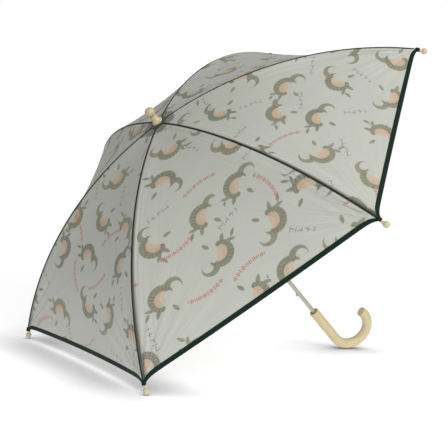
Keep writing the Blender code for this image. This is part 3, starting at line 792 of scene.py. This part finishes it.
def half_gore(gore, side, cloth, lining):
    """Half of a gore, from one rib's seam to the gore's middle."""
    along = np.linspace(CLOTH_START / SEAM_LENGTH, 1, GORE_ROWS)[:, None]
    near = 0.5 * np.linspace(0, 1, GORE_COLUMNS)[None, :] ** 1.5
    grid = cloth_face(gore, side, along, near)
    along, near = np.broadcast_arrays(along, near)
    down = along * SEAM_LENGTH
    width = RIM_RADIUS * np.sin(RIM_ANGLE * along) / math.sin(RIM_ANGLE) * (1 if side == 0 else -1)
    cloth_uv = np.stack([(near - 0.5) * width + 0.61 * gore, down + 0.37 * gore], axis=-1)
    gore_uv = np.stack([near * width, down], axis=-1)
    name = panel_name(gore, side)
    obj = shell("cloth_" + name[6:], grid, 0.0, CLOTH, (cloth, lining),
                (("cloth", cloth_uv), ("gore", gore_uv)))
    follow_panel(obj)
    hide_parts(name)


def panel_name(gore, side):
    return "panel_" + str(gore + 1) + str((gore + 1) % GORES + 1) + "ab"[side]


def follow_panel(obj):
    """Bakes a piece's transform into its mesh."""
    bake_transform(obj)


def hem_binding(gore, side, green):
    """Tape folded over the hem, its two flaps hugging the cloth."""
    near = 0.5 * np.linspace(0, 1, BINDING_SAMPLES) ** 1.4
    edge = cloth_face(gore, side, 1.0, near)
    inner = cloth_face(gore, side, 1 - BINDING_WIDTH / SEAM_LENGTH, near)
    inward = inner - edge
    inward /= np.linalg.norm(inward, axis=1, keepdims=True)
    normal = np.cross(np.gradient(edge, axis=0), inward)
    normal /= np.linalg.norm(normal, axis=1, keepdims=True)
    normal *= np.sign(normal[:, 2:3])
    lift = BINDING_LIFT
    under = CLOTH + lift * 0.7
    width = BINDING_WIDTH
    section = ((width, lift * 0.35), (width * 0.93, lift * 0.95), (width * 0.70, lift * 1.05),
               (width * 0.40, lift * 1.35), (width * 0.12, lift * 1.15), (-0.0003, lift * 0.4),
               (-0.0005, -under * 0.4), (-0.0002, -under), (width * 0.3, -under * 1.05),
               (width * 0.8, -under), (width * 0.97, -under * 0.8), (width, -CLOTH * 0.6))
    taper = 1 - 0.15 * np.exp(-near * RIM_RADIUS / 0.003)
    rings = [[edge[k] + inward[k] * d * taper[k] + normal[k] * h for d, h in section]
             for k in range(BINDING_SAMPLES)]
    across_uv = np.array([0.0, 0.07, 0.3, 0.6, 0.88, 1.0, 1.0, 0.97, 0.7, 0.2, 0.03, 0.0])
    obj = sweep("hem_" + panel_name(gore, side)[6:], edge, rings, green, across_uv)
    follow_panel(obj)


def seam_strip(rib, seam_material):
    """Flat-felled seam over a rib: a low, narrow ridge from the crown to the corner."""
    angle = np.linspace(CLOTH_START / ARC * 0.75, RIM_ANGLE, SEAM_SAMPLES)
    out = unit(rib * STEP)
    side = unit(rib * STEP + math.pi / 2)
    path = out * (ARC * np.sin(angle))[:, None] + UP * (ARC_CENTRE + ARC * np.cos(angle))[:, None]
    normal = out * np.sin(angle)[:, None] + UP * np.cos(angle)[:, None]
    lean = SEAM_SLOPE * np.sin(angle)
    section = ((-1.0, -0.25), (-0.8, 0.12), (-0.35, 0.34), (0.35, 0.34), (0.8, 0.12), (1.0, -0.25),
               (0.5, -0.30), (-0.5, -0.30))
    rings = [[path[k] + SEAM_HALF * (side * x - normal[k] * abs(x) * lean[k]) + normal[k] * h * SEAM_HEIGHT
              for x, h in section] for k in range(SEAM_SAMPLES)]
    across_uv = np.array([0.0, 0.15, 0.35, 0.65, 0.85, 1.0, 0.75, 0.25])
    obj = sweep("seam_" + str(rib + 1), path, rings, seam_material, across_uv)
    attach(obj, "rib_" + str(rib + 1))


def corner_tab(rib, green):
    """Folded end of the binding, sewn round the tip's neck. A section: place, half sizes and level."""
    out, side, lift = rib_frame(rib)
    corner = unit(rib * STEP) * RIM_RADIUS + UP * (ARC_CENTRE + ARC * math.cos(RIM_ANGLE))
    sections = ((-0.0060, 0.0010, 0.0006, 0.0004), (-0.0044, 0.0021, 0.0008, 0.0002),
                (-0.0030, 0.0028, 0.0016, -0.0006), (-0.0018, 0.0030, 0.0024, -0.0012),
                (-0.0006, 0.0029, 0.0027, -0.0014), (0.0002, 0.0027, 0.0026, -0.0014),
                (0.0005, 0.0024, 0.0023, -0.0014))
    turns = 2 * math.pi * np.arange(TAB_SIDES) / TAB_SIDES
    rings = []
    for along, half, height, level in sections:
        middle = corner + out * along + lift * (level + TAB_LIFT)
        flat = np.sign(np.cos(turns)) * np.abs(np.cos(turns)) ** 0.8 * half
        ring = middle + flat[:, None] * side + (np.sin(turns) * height)[:, None] * lift
        rings.append(ring)
    path = corner + np.array([s[0] for s in sections])[:, None] * out
    obj = sweep("corner_tab_" + str(rib + 1), path, rings, green, np.abs(np.sin(turns)))
    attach(obj, "rib_" + str(rib + 1))


def build_canopy(wire):
    cloth = cloth_material()
    lining = lining_material()
    green = tape("binding_tape", (0.0058, 0.0190, 0.0125))
    seam_green = tape("seam_tape", (0.016, 0.020, 0.016))
    for gore in range(GORES):
        for side in (0, 1):
            half_gore(gore, side, cloth, lining)
            hem_binding(gore, side, green)
        seam_strip(gore, seam_green)
        corner_tab(gore, green)
    build_strap(green)
    build_stud(wire)
    build_rosette(tape("crown_cloth", (0.100, 0.112, 0.092)))


def build_strap(green):
    """Closing strap on the far gore, stitched on at its upper end, hanging to the hem."""
    rows, columns = 60, 12
    along = np.linspace(*STRAP_SPAN, rows)[:, None]
    side = np.linspace(-1, 1, columns)[None, :]
    across = STRAP_MIDDLE + side * STRAP_HALF / (RIM_RADIUS * along)
    crown = 0.0003 * (1 - side ** 2) + 0.0002 * np.sin(along * 60)
    lift = (STRAP_LIFT + crown)[..., None]
    grid = cloth_face(STRAP_GORE, 0, along, across)
    grid = grid + face_normals(STRAP_GORE, np.broadcast_to(along, across.shape), across) * lift
    run = np.broadcast_to((along - STRAP_SPAN[0]) * SEAM_LENGTH, (rows, columns))
    pairs = np.stack([run, np.broadcast_to(side * 0.5 + 0.5, (rows, columns))], axis=-1)
    obj = shell("strap", grid, 0.0003, 0.0004, (green,), (("tape", pairs),))
    follow_strap(obj)
    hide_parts("tie_strap")


def follow_strap(obj):
    """Bakes a strap piece's transform into its mesh, as follow_panel does."""
    follow_panel(obj)


def build_stud(wire):
    """Press stud near the strap's loose end: a domed cap with a rolled rim, set on the cloth's curve under
    the strap.
    """
    points = node_points("strap_stud")
    centre = (points.min(axis=0) + points.max(axis=0)) / 2
    profile = [(0.0, 0.0019), (0.0011, 0.0018), (0.0020, 0.0015), (0.0026, 0.0011), (0.0029, 0.0008)]
    profile += arc_profile((0.0034, 0.0007), 0.0006, 150, -80, 8)
    profile += [(0.0034, 0.0), (0.0, 0.0)]
    normal = face_normals(STRAP_GORE, STUD_PLACE, STRAP_MIDDLE)
    upper, lower = canopy_points(STRAP_GORE, np.array([STUD_PLACE, STUD_PLACE + 0.001]), STRAP_MIDDLE)
    down = (lower - upper) / np.linalg.norm(lower - upper)
    place = frame_matrix(centre - normal * STUD_SINK, down, np.cross(normal, down), normal)
    obj = turned_solid("strap_snap", profile, place, wire, steps=40)
    follow_strap(obj)
    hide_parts("strap_stud")


def build_rosette(crown_cloth):
    """Gathered frill of cloth between the cap and the canopy."""
    share = np.linspace(0, 1, 14)[:, None]
    turn = np.linspace(0, 2 * math.pi, 145)[None, :]
    reach = FRILL_INNER + (FRILL_OUTER - FRILL_INNER) * share
    gathers = np.sin(turn * FRILL_WAVES) * 0.6 + np.sin(turn * 29 + 1) * 0.4
    radius = reach * (1 + 0.05 * share * np.sin(turn * FRILL_WAVES + 0.8))
    free = np.clip((reach - FRILL_PRESSED) / 0.002, 0.25, 1)
    height = APEX - reach ** 2 / (2 * ARC) + FRILL_LIFT + FRILL_RISE * share ** 1.5 * (gathers + 1.0) * free
    grid = np.stack([radius * np.cos(turn), radius * np.sin(turn), height], axis=-1)
    pairs = np.stack(np.broadcast_arrays(turn * 0.01, share), axis=-1)
    obj = shell("rosette_frill", grid, 0.00015, 0.00015, (crown_cloth,), (("tape", pairs),))
    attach(obj, "frame_root")
    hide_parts("rosette")


# ---------------------------------------------------------------- fine plastic parts

def crook_place(run, top, centre, crook, bend, hook):
    """Point on the handle's centre line and its direction, a distance from its top."""
    straight = top - centre
    if run <= straight:
        return UP * (top - run), -UP
    angle = min((run - straight) / crook, bend)
    rest = run - straight - angle * crook
    place = hook * crook * (1 - math.cos(angle)) + UP * (centre - crook * math.sin(angle))
    direction = hook * math.sin(angle) - UP * math.cos(angle)
    return place + direction * rest, direction


def socket_rings(top, across, hook, turns):
    """Rings of the shaft's socket, from its floor up to its eased mouth."""
    corners = ((0.0001, SOCKET_DEPTH), (SOCKET_RADIUS, SOCKET_DEPTH), (SOCKET_RADIUS, HANDLE_LIP),
               (SOCKET_RADIUS + HANDLE_LIP, 0.0))
    return [[UP * (top - depth) + reach * (across * math.sin(t) - hook * math.cos(t)) for t in turns]
            for reach, depth in corners]


def build_handle(material):
    """Crook with a constant round section, eased ends and the socket for the shaft."""
    low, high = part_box("handle")
    radius = -low.x
    mount = frame["record"]["mounts"][0]
    end = np.array(mount["pos_m"], float)
    leaving = np.array(mount["axis"], float)
    hook = unit(math.atan2(end[1], end[0]))
    crook = (high.x - radius) / (2 * hook[0])
    centre = crook + radius
    bend = math.atan2(leaving @ hook, -leaving[2]) % (2 * math.pi)
    bent = high.z - centre + bend * crook
    arc_end, _ = crook_place(bent, high.z, centre, crook, bend, hook)
    length = bent + float(np.linalg.norm(end - arc_end))
    across = np.cross(UP, hook)
    turns = np.linspace(0, 2 * math.pi, HANDLE_SIDES, endpoint=False)
    rings = socket_rings(high.z, across, hook, turns)
    eased = HANDLE_EASE * (1 - np.cos(np.linspace(0, math.pi / 2, 8)))
    middle_runs = np.linspace(HANDLE_EASE, length - HANDLE_EASE, HANDLE_SAMPLES)[1:-1]
    for run in np.concatenate([eased, middle_runs, length - eased[::-1]]):
        place, direction = crook_place(run, high.z, centre, crook, bend, hook)
        short = HANDLE_EASE - min(run, length - run, HANDLE_EASE)
        size = radius - HANDLE_EASE + math.sqrt(HANDLE_EASE ** 2 - short ** 2)
        normal = np.cross(across, direction)
        rings.append([place + size * (normal * math.cos(t) + across * math.sin(t)) for t in turns])
    obj = sweep("crook_handle", None, rings, material)
    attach(obj, "frame_root")
    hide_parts("handle")


def build_knob(pale):
    """Ball on top of the cap."""
    low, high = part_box("finial_ball")
    radius = (high.x - low.x) / 2
    centre = high.z - radius
    flat = centre - low.z
    foot = -math.degrees(math.asin(flat / radius))
    profile = [(0.0, radius)] + arc_profile((0, 0), radius, 88, foot, 30)
    profile += [(0.0030, -flat), (0.0, -flat)]
    ball = turned_solid("finial_knob", profile, Matrix.Translation((0, 0, centre)), pale)
    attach(ball, "frame_root")
    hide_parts("finial_ball")


def build_bell(cream):
    """Flared cap that covers the canopy's centre."""
    low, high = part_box("finial_cap")
    skirt = (high.x - low.x) / 2
    height = high.z - low.z
    profile = [(CAP_BORE, height), (CAP_NECK - 0.0005, height), (CAP_NECK - 0.0001, height - 0.0001),
               (CAP_NECK, height - 0.0005)]
    profile += arc_profile((CAP_NECK + CAP_FLARE, CAP_BASE + CAP_FLARE), CAP_FLARE, 180, 235, 16)
    profile += [(skirt - 0.0002, CAP_BASE + 0.0006), (skirt, CAP_BASE), (skirt, 0.0006),
                (skirt - 0.0002, 0.0002), (skirt - 0.0007, 0.0), (CAP_BORE, 0.0)]
    cap = turned_solid("finial_bell", profile, Matrix.Translation((0, 0, low.z)), cream)
    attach(cap, "frame_root")
    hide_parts("finial_cap")


def build_tip(rib, pale):
    """Ball tip with a short neck that the canopy's corner is sewn to."""
    name = "tip_cap_" + str(rib + 1)
    out, side, lift = rib_frame(rib)
    points = node_points(name)
    spans = [(float((points @ axis).min()), float((points @ axis).max())) for axis in (out, side, lift)]
    radius = (spans[1][1] - spans[1][0]) / 2
    centre = (out * (spans[0][1] - radius) + side * (spans[1][0] + spans[1][1]) / 2
              + lift * (spans[2][0] + spans[2][1]) / 2)
    foot = spans[0][0] + radius - spans[0][1]
    bead = TIP_NECK * 1.12
    join = -math.degrees(math.acos(bead / radius))
    profile = [(0.0, radius)] + arc_profile((0, 0), radius, 88, join, 24)
    profile += [(TIP_NECK * 1.02, -radius * 0.96), (TIP_NECK, foot + 0.0008), (bead, foot + 0.0005),
                (bead, foot + 0.0001), (TIP_NECK, foot), (TIP_BORE, foot), (TIP_BORE, foot + 0.001),
                (0.0, foot + 0.001)]
    place = frame_matrix(centre, side, lift, out)
    obj = turned_solid("corner_ball_" + str(rib + 1), profile, place, pale, steps=36)
    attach(obj, "rib_" + str(rib + 1))
    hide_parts(name)


def paint_cad_nodes(materials):
    """Materials for the CAD nodes that stay in sight."""
    kinds = {
        "shaft_tube": "shaft", "handle_collar": "pale", "crown": "nylon", "runner": "nylon",
        "crown_ring": "wire", "runner_ring": "wire", "crown_pin": "wire", "stop_pin": "wire",
        "top_catch": "wire", "bottom_catch": "catch",
    }
    for name, node in frame["nodes"].items():
        kind = kinds.get(name)
        if kind is None and name.startswith("rib_rivet"):
            kind = "wire"
        elif kind is None and name.startswith(("rib_", "stretcher_")):
            kind = "frame"
        if kind is None:
            continue
        node.data.materials.clear()
        node.data.materials.append(materials[kind])


# ---------------------------------------------------------------- stage, light and camera

EYE_OFFSET = np.array([0.573, -3.923, 1.576]) * 0.390   # from the apex to the lens
VIEW = np.array([-0.1401, 0.8716, -0.4698])
VIEW_UP = np.array([0.5747, 0.458, 0.6782])
LENS = 86.6
SENSOR = 36.0
AMBIENT = 0.46
KEY_POWER = 34.0
KEY_DISTANCE = 2.2
KEY_SIZE = 1.6
KEY_FROM = (0.46, 0.39, 0.77)                           # shares of right, up and towards the lens
LIT_PLACE = np.array([0.0, 0.0, 0.42])
FLOOR_RADIUS = 1.6
FLOOR_CENTRE = np.array([0.0, 0.0, 0.25])               # the floor's centre lies under this place
FLOOR_GAP = 0.0004
FLOOR_TONE = (0.55, 0.55, 0.56)
FLOOR_GLOW = 0.68
FLOOR_FADE = (1.05, 0.35)                               # middle of the floor's fade, and half its width
# painted contact shadow on the floor: its reach and strength
SHADE_DISTANCE = 0.11                                   # how near a thing darkens the floor
SHADE_POWER = 1.75


def floor_plane():
    """Plane that two canopy corners and the crook rest on, as in the picture."""
    sets = [node_points(name) for name in ("tip_cap_4", "tip_cap_5", "handle")]
    normal = VIEW_UP
    for _ in range(8):
        a, b, c = [points[np.argmin(points @ normal)] for points in sets]
        fresh = np.cross(b - a, c - a)
        fresh /= np.linalg.norm(fresh)
        normal = fresh if fresh @ VIEW_UP > 0 else -fresh
    return a, normal


def look_matrix(place, forward, up):
    """Place and turn of a lamp or camera that looks along forward."""
    forward = Vector(forward).normalized()
    right = forward.cross(Vector(up)).normalized()
    true_up = right.cross(forward)
    return frame_matrix(place, right, true_up, -forward)


def floor_material():
    """Pale floor with painted contact shadow under near things, fades out far away and is clear from below.
    """
    made, tree, shader = new_material("pale_floor", 0.9)
    length = tree.nodes.new("ShaderNodeVectorMath")
    length.operation = "LENGTH"
    tree.links.new(place_of(tree), length.inputs[0])
    fade = Num(tree, length.outputs["Value"]).under(*FLOOR_FADE)
    facing = Num(tree, tree.nodes.new("ShaderNodeNewGeometry").outputs["Backfacing"])
    near = tree.nodes.new("ShaderNodeAmbientOcclusion")
    near.samples = 8
    near.inputs["Distance"].default_value = SHADE_DISTANCE
    lens = Num(tree, tree.nodes.new("ShaderNodeLightPath").outputs["Is Camera Ray"])
    # painted contact shadow: ambient occlusion darkens the floor's colour and glow, for camera rays only
    painted_shadow_factor = (Num(tree, near.outputs["AO"]).power(SHADE_POWER) - 1.0) * lens + 1.0
    colour = grey_colour(tree, [painted_shadow_factor * level for level in FLOOR_TONE])
    plug(tree, shader.inputs["Base Color"], colour)
    shader.inputs["Emission Color"].default_value = (1, 1, 1, 1)
    plug(tree, shader.inputs["Emission Strength"], painted_shadow_factor * FLOOR_GLOW)
    plug(tree, shader.inputs["Alpha"], fade * (facing * -1.0 + 1.0))
    return made


def build_floor():
    point, normal = floor_plane()
    drop = float((FLOOR_CENTRE - point) @ normal) + FLOOR_GAP
    bpy.ops.mesh.primitive_circle_add(vertices=128, radius=FLOOR_RADIUS, fill_type="NGON")
    floor = bpy.context.object
    floor.name = "floor"
    floor.matrix_world = (Matrix.Translation(Vector(FLOOR_CENTRE - normal * drop))
                          @ Vector(normal).to_track_quat("Z", "Y").to_matrix().to_4x4())
    floor.data.materials.append(floor_material())


def key_light(place):
    data = bpy.data.lights.new("key", "AREA")
    data.shape = "DISK"
    data.size = KEY_SIZE
    data.energy = KEY_POWER
    lamp = bpy.data.objects.new("key", data)
    bpy.context.scene.collection.objects.link(lamp)
    lamp.matrix_world = look_matrix(place, LIT_PLACE - place, UP)


def build_light():
    """White surroundings as the lens sees them, dimmer as light; soft key light from the right."""
    world = bpy.data.worlds.new("studio")
    bpy.context.scene.world = world
    world.use_nodes = True
    tree = world.node_tree
    ground = tree.nodes["Background"]
    seen = Num(tree, tree.nodes.new("ShaderNodeLightPath").outputs["Is Camera Ray"])
    plug(tree, ground.inputs["Strength"], seen * (1 - AMBIENT) + AMBIENT)
    ground.inputs["Color"].default_value = (1, 1, 1, 1)
    right = np.cross(VIEW, VIEW_UP)
    towards = right * KEY_FROM[0] + VIEW_UP * KEY_FROM[1] - VIEW * KEY_FROM[2]
    key_light(LIT_PLACE + towards * KEY_DISTANCE)


def build_camera():
    """Camera whose up is not Z, because the umbrella lies tilted on the floor."""
    data = bpy.data.cameras.new("camera")
    data.lens = LENS
    data.sensor_width = SENSOR
    data.clip_start = 0.01
    camera = bpy.data.objects.new("camera", data)
    bpy.context.scene.collection.objects.link(camera)
    camera.matrix_world = look_matrix(np.array([0, 0, APEX]) + EYE_OFFSET, VIEW, VIEW_UP)
    bpy.context.scene.camera = camera
    bpy.context.scene.view_settings.view_transform = "Standard"


# ---------------------------------------------------------------- the umbrella and its studio

cream = plastic("cream_moulding", (0.560, 0.470, 0.270), 0.46)
pale = plastic("pale_moulding", (0.520, 0.440, 0.275), 0.42)
wire = metal("bright_wire", (0.60, 0.60, 0.58), 0.28, 1.0, FINE_MARKS)
paint_cad_nodes({
    "shaft": metal("shaft_coat", (0.44, 0.435, 0.35), 0.36, 0.50, DRAWN_STREAKS),
    "frame": metal("frame_coat", (0.050, 0.052, 0.050), 0.42, 0.45, COARSE_MARKS),
    "wire": wire,
    "catch": metal("catch_coat", (0.40, 0.385, 0.31), 0.40, 0.35, FINE_MARKS),
    "nylon": plastic("black_nylon", (0.022, 0.023, 0.024), 0.5),
    "pale": pale,
})
build_canopy(wire)
build_handle(cream)
build_knob(pale)
build_bell(cream)
for rib in range(GORES):
    build_tip(rib, pale)
build_floor()
build_light()
build_camera()
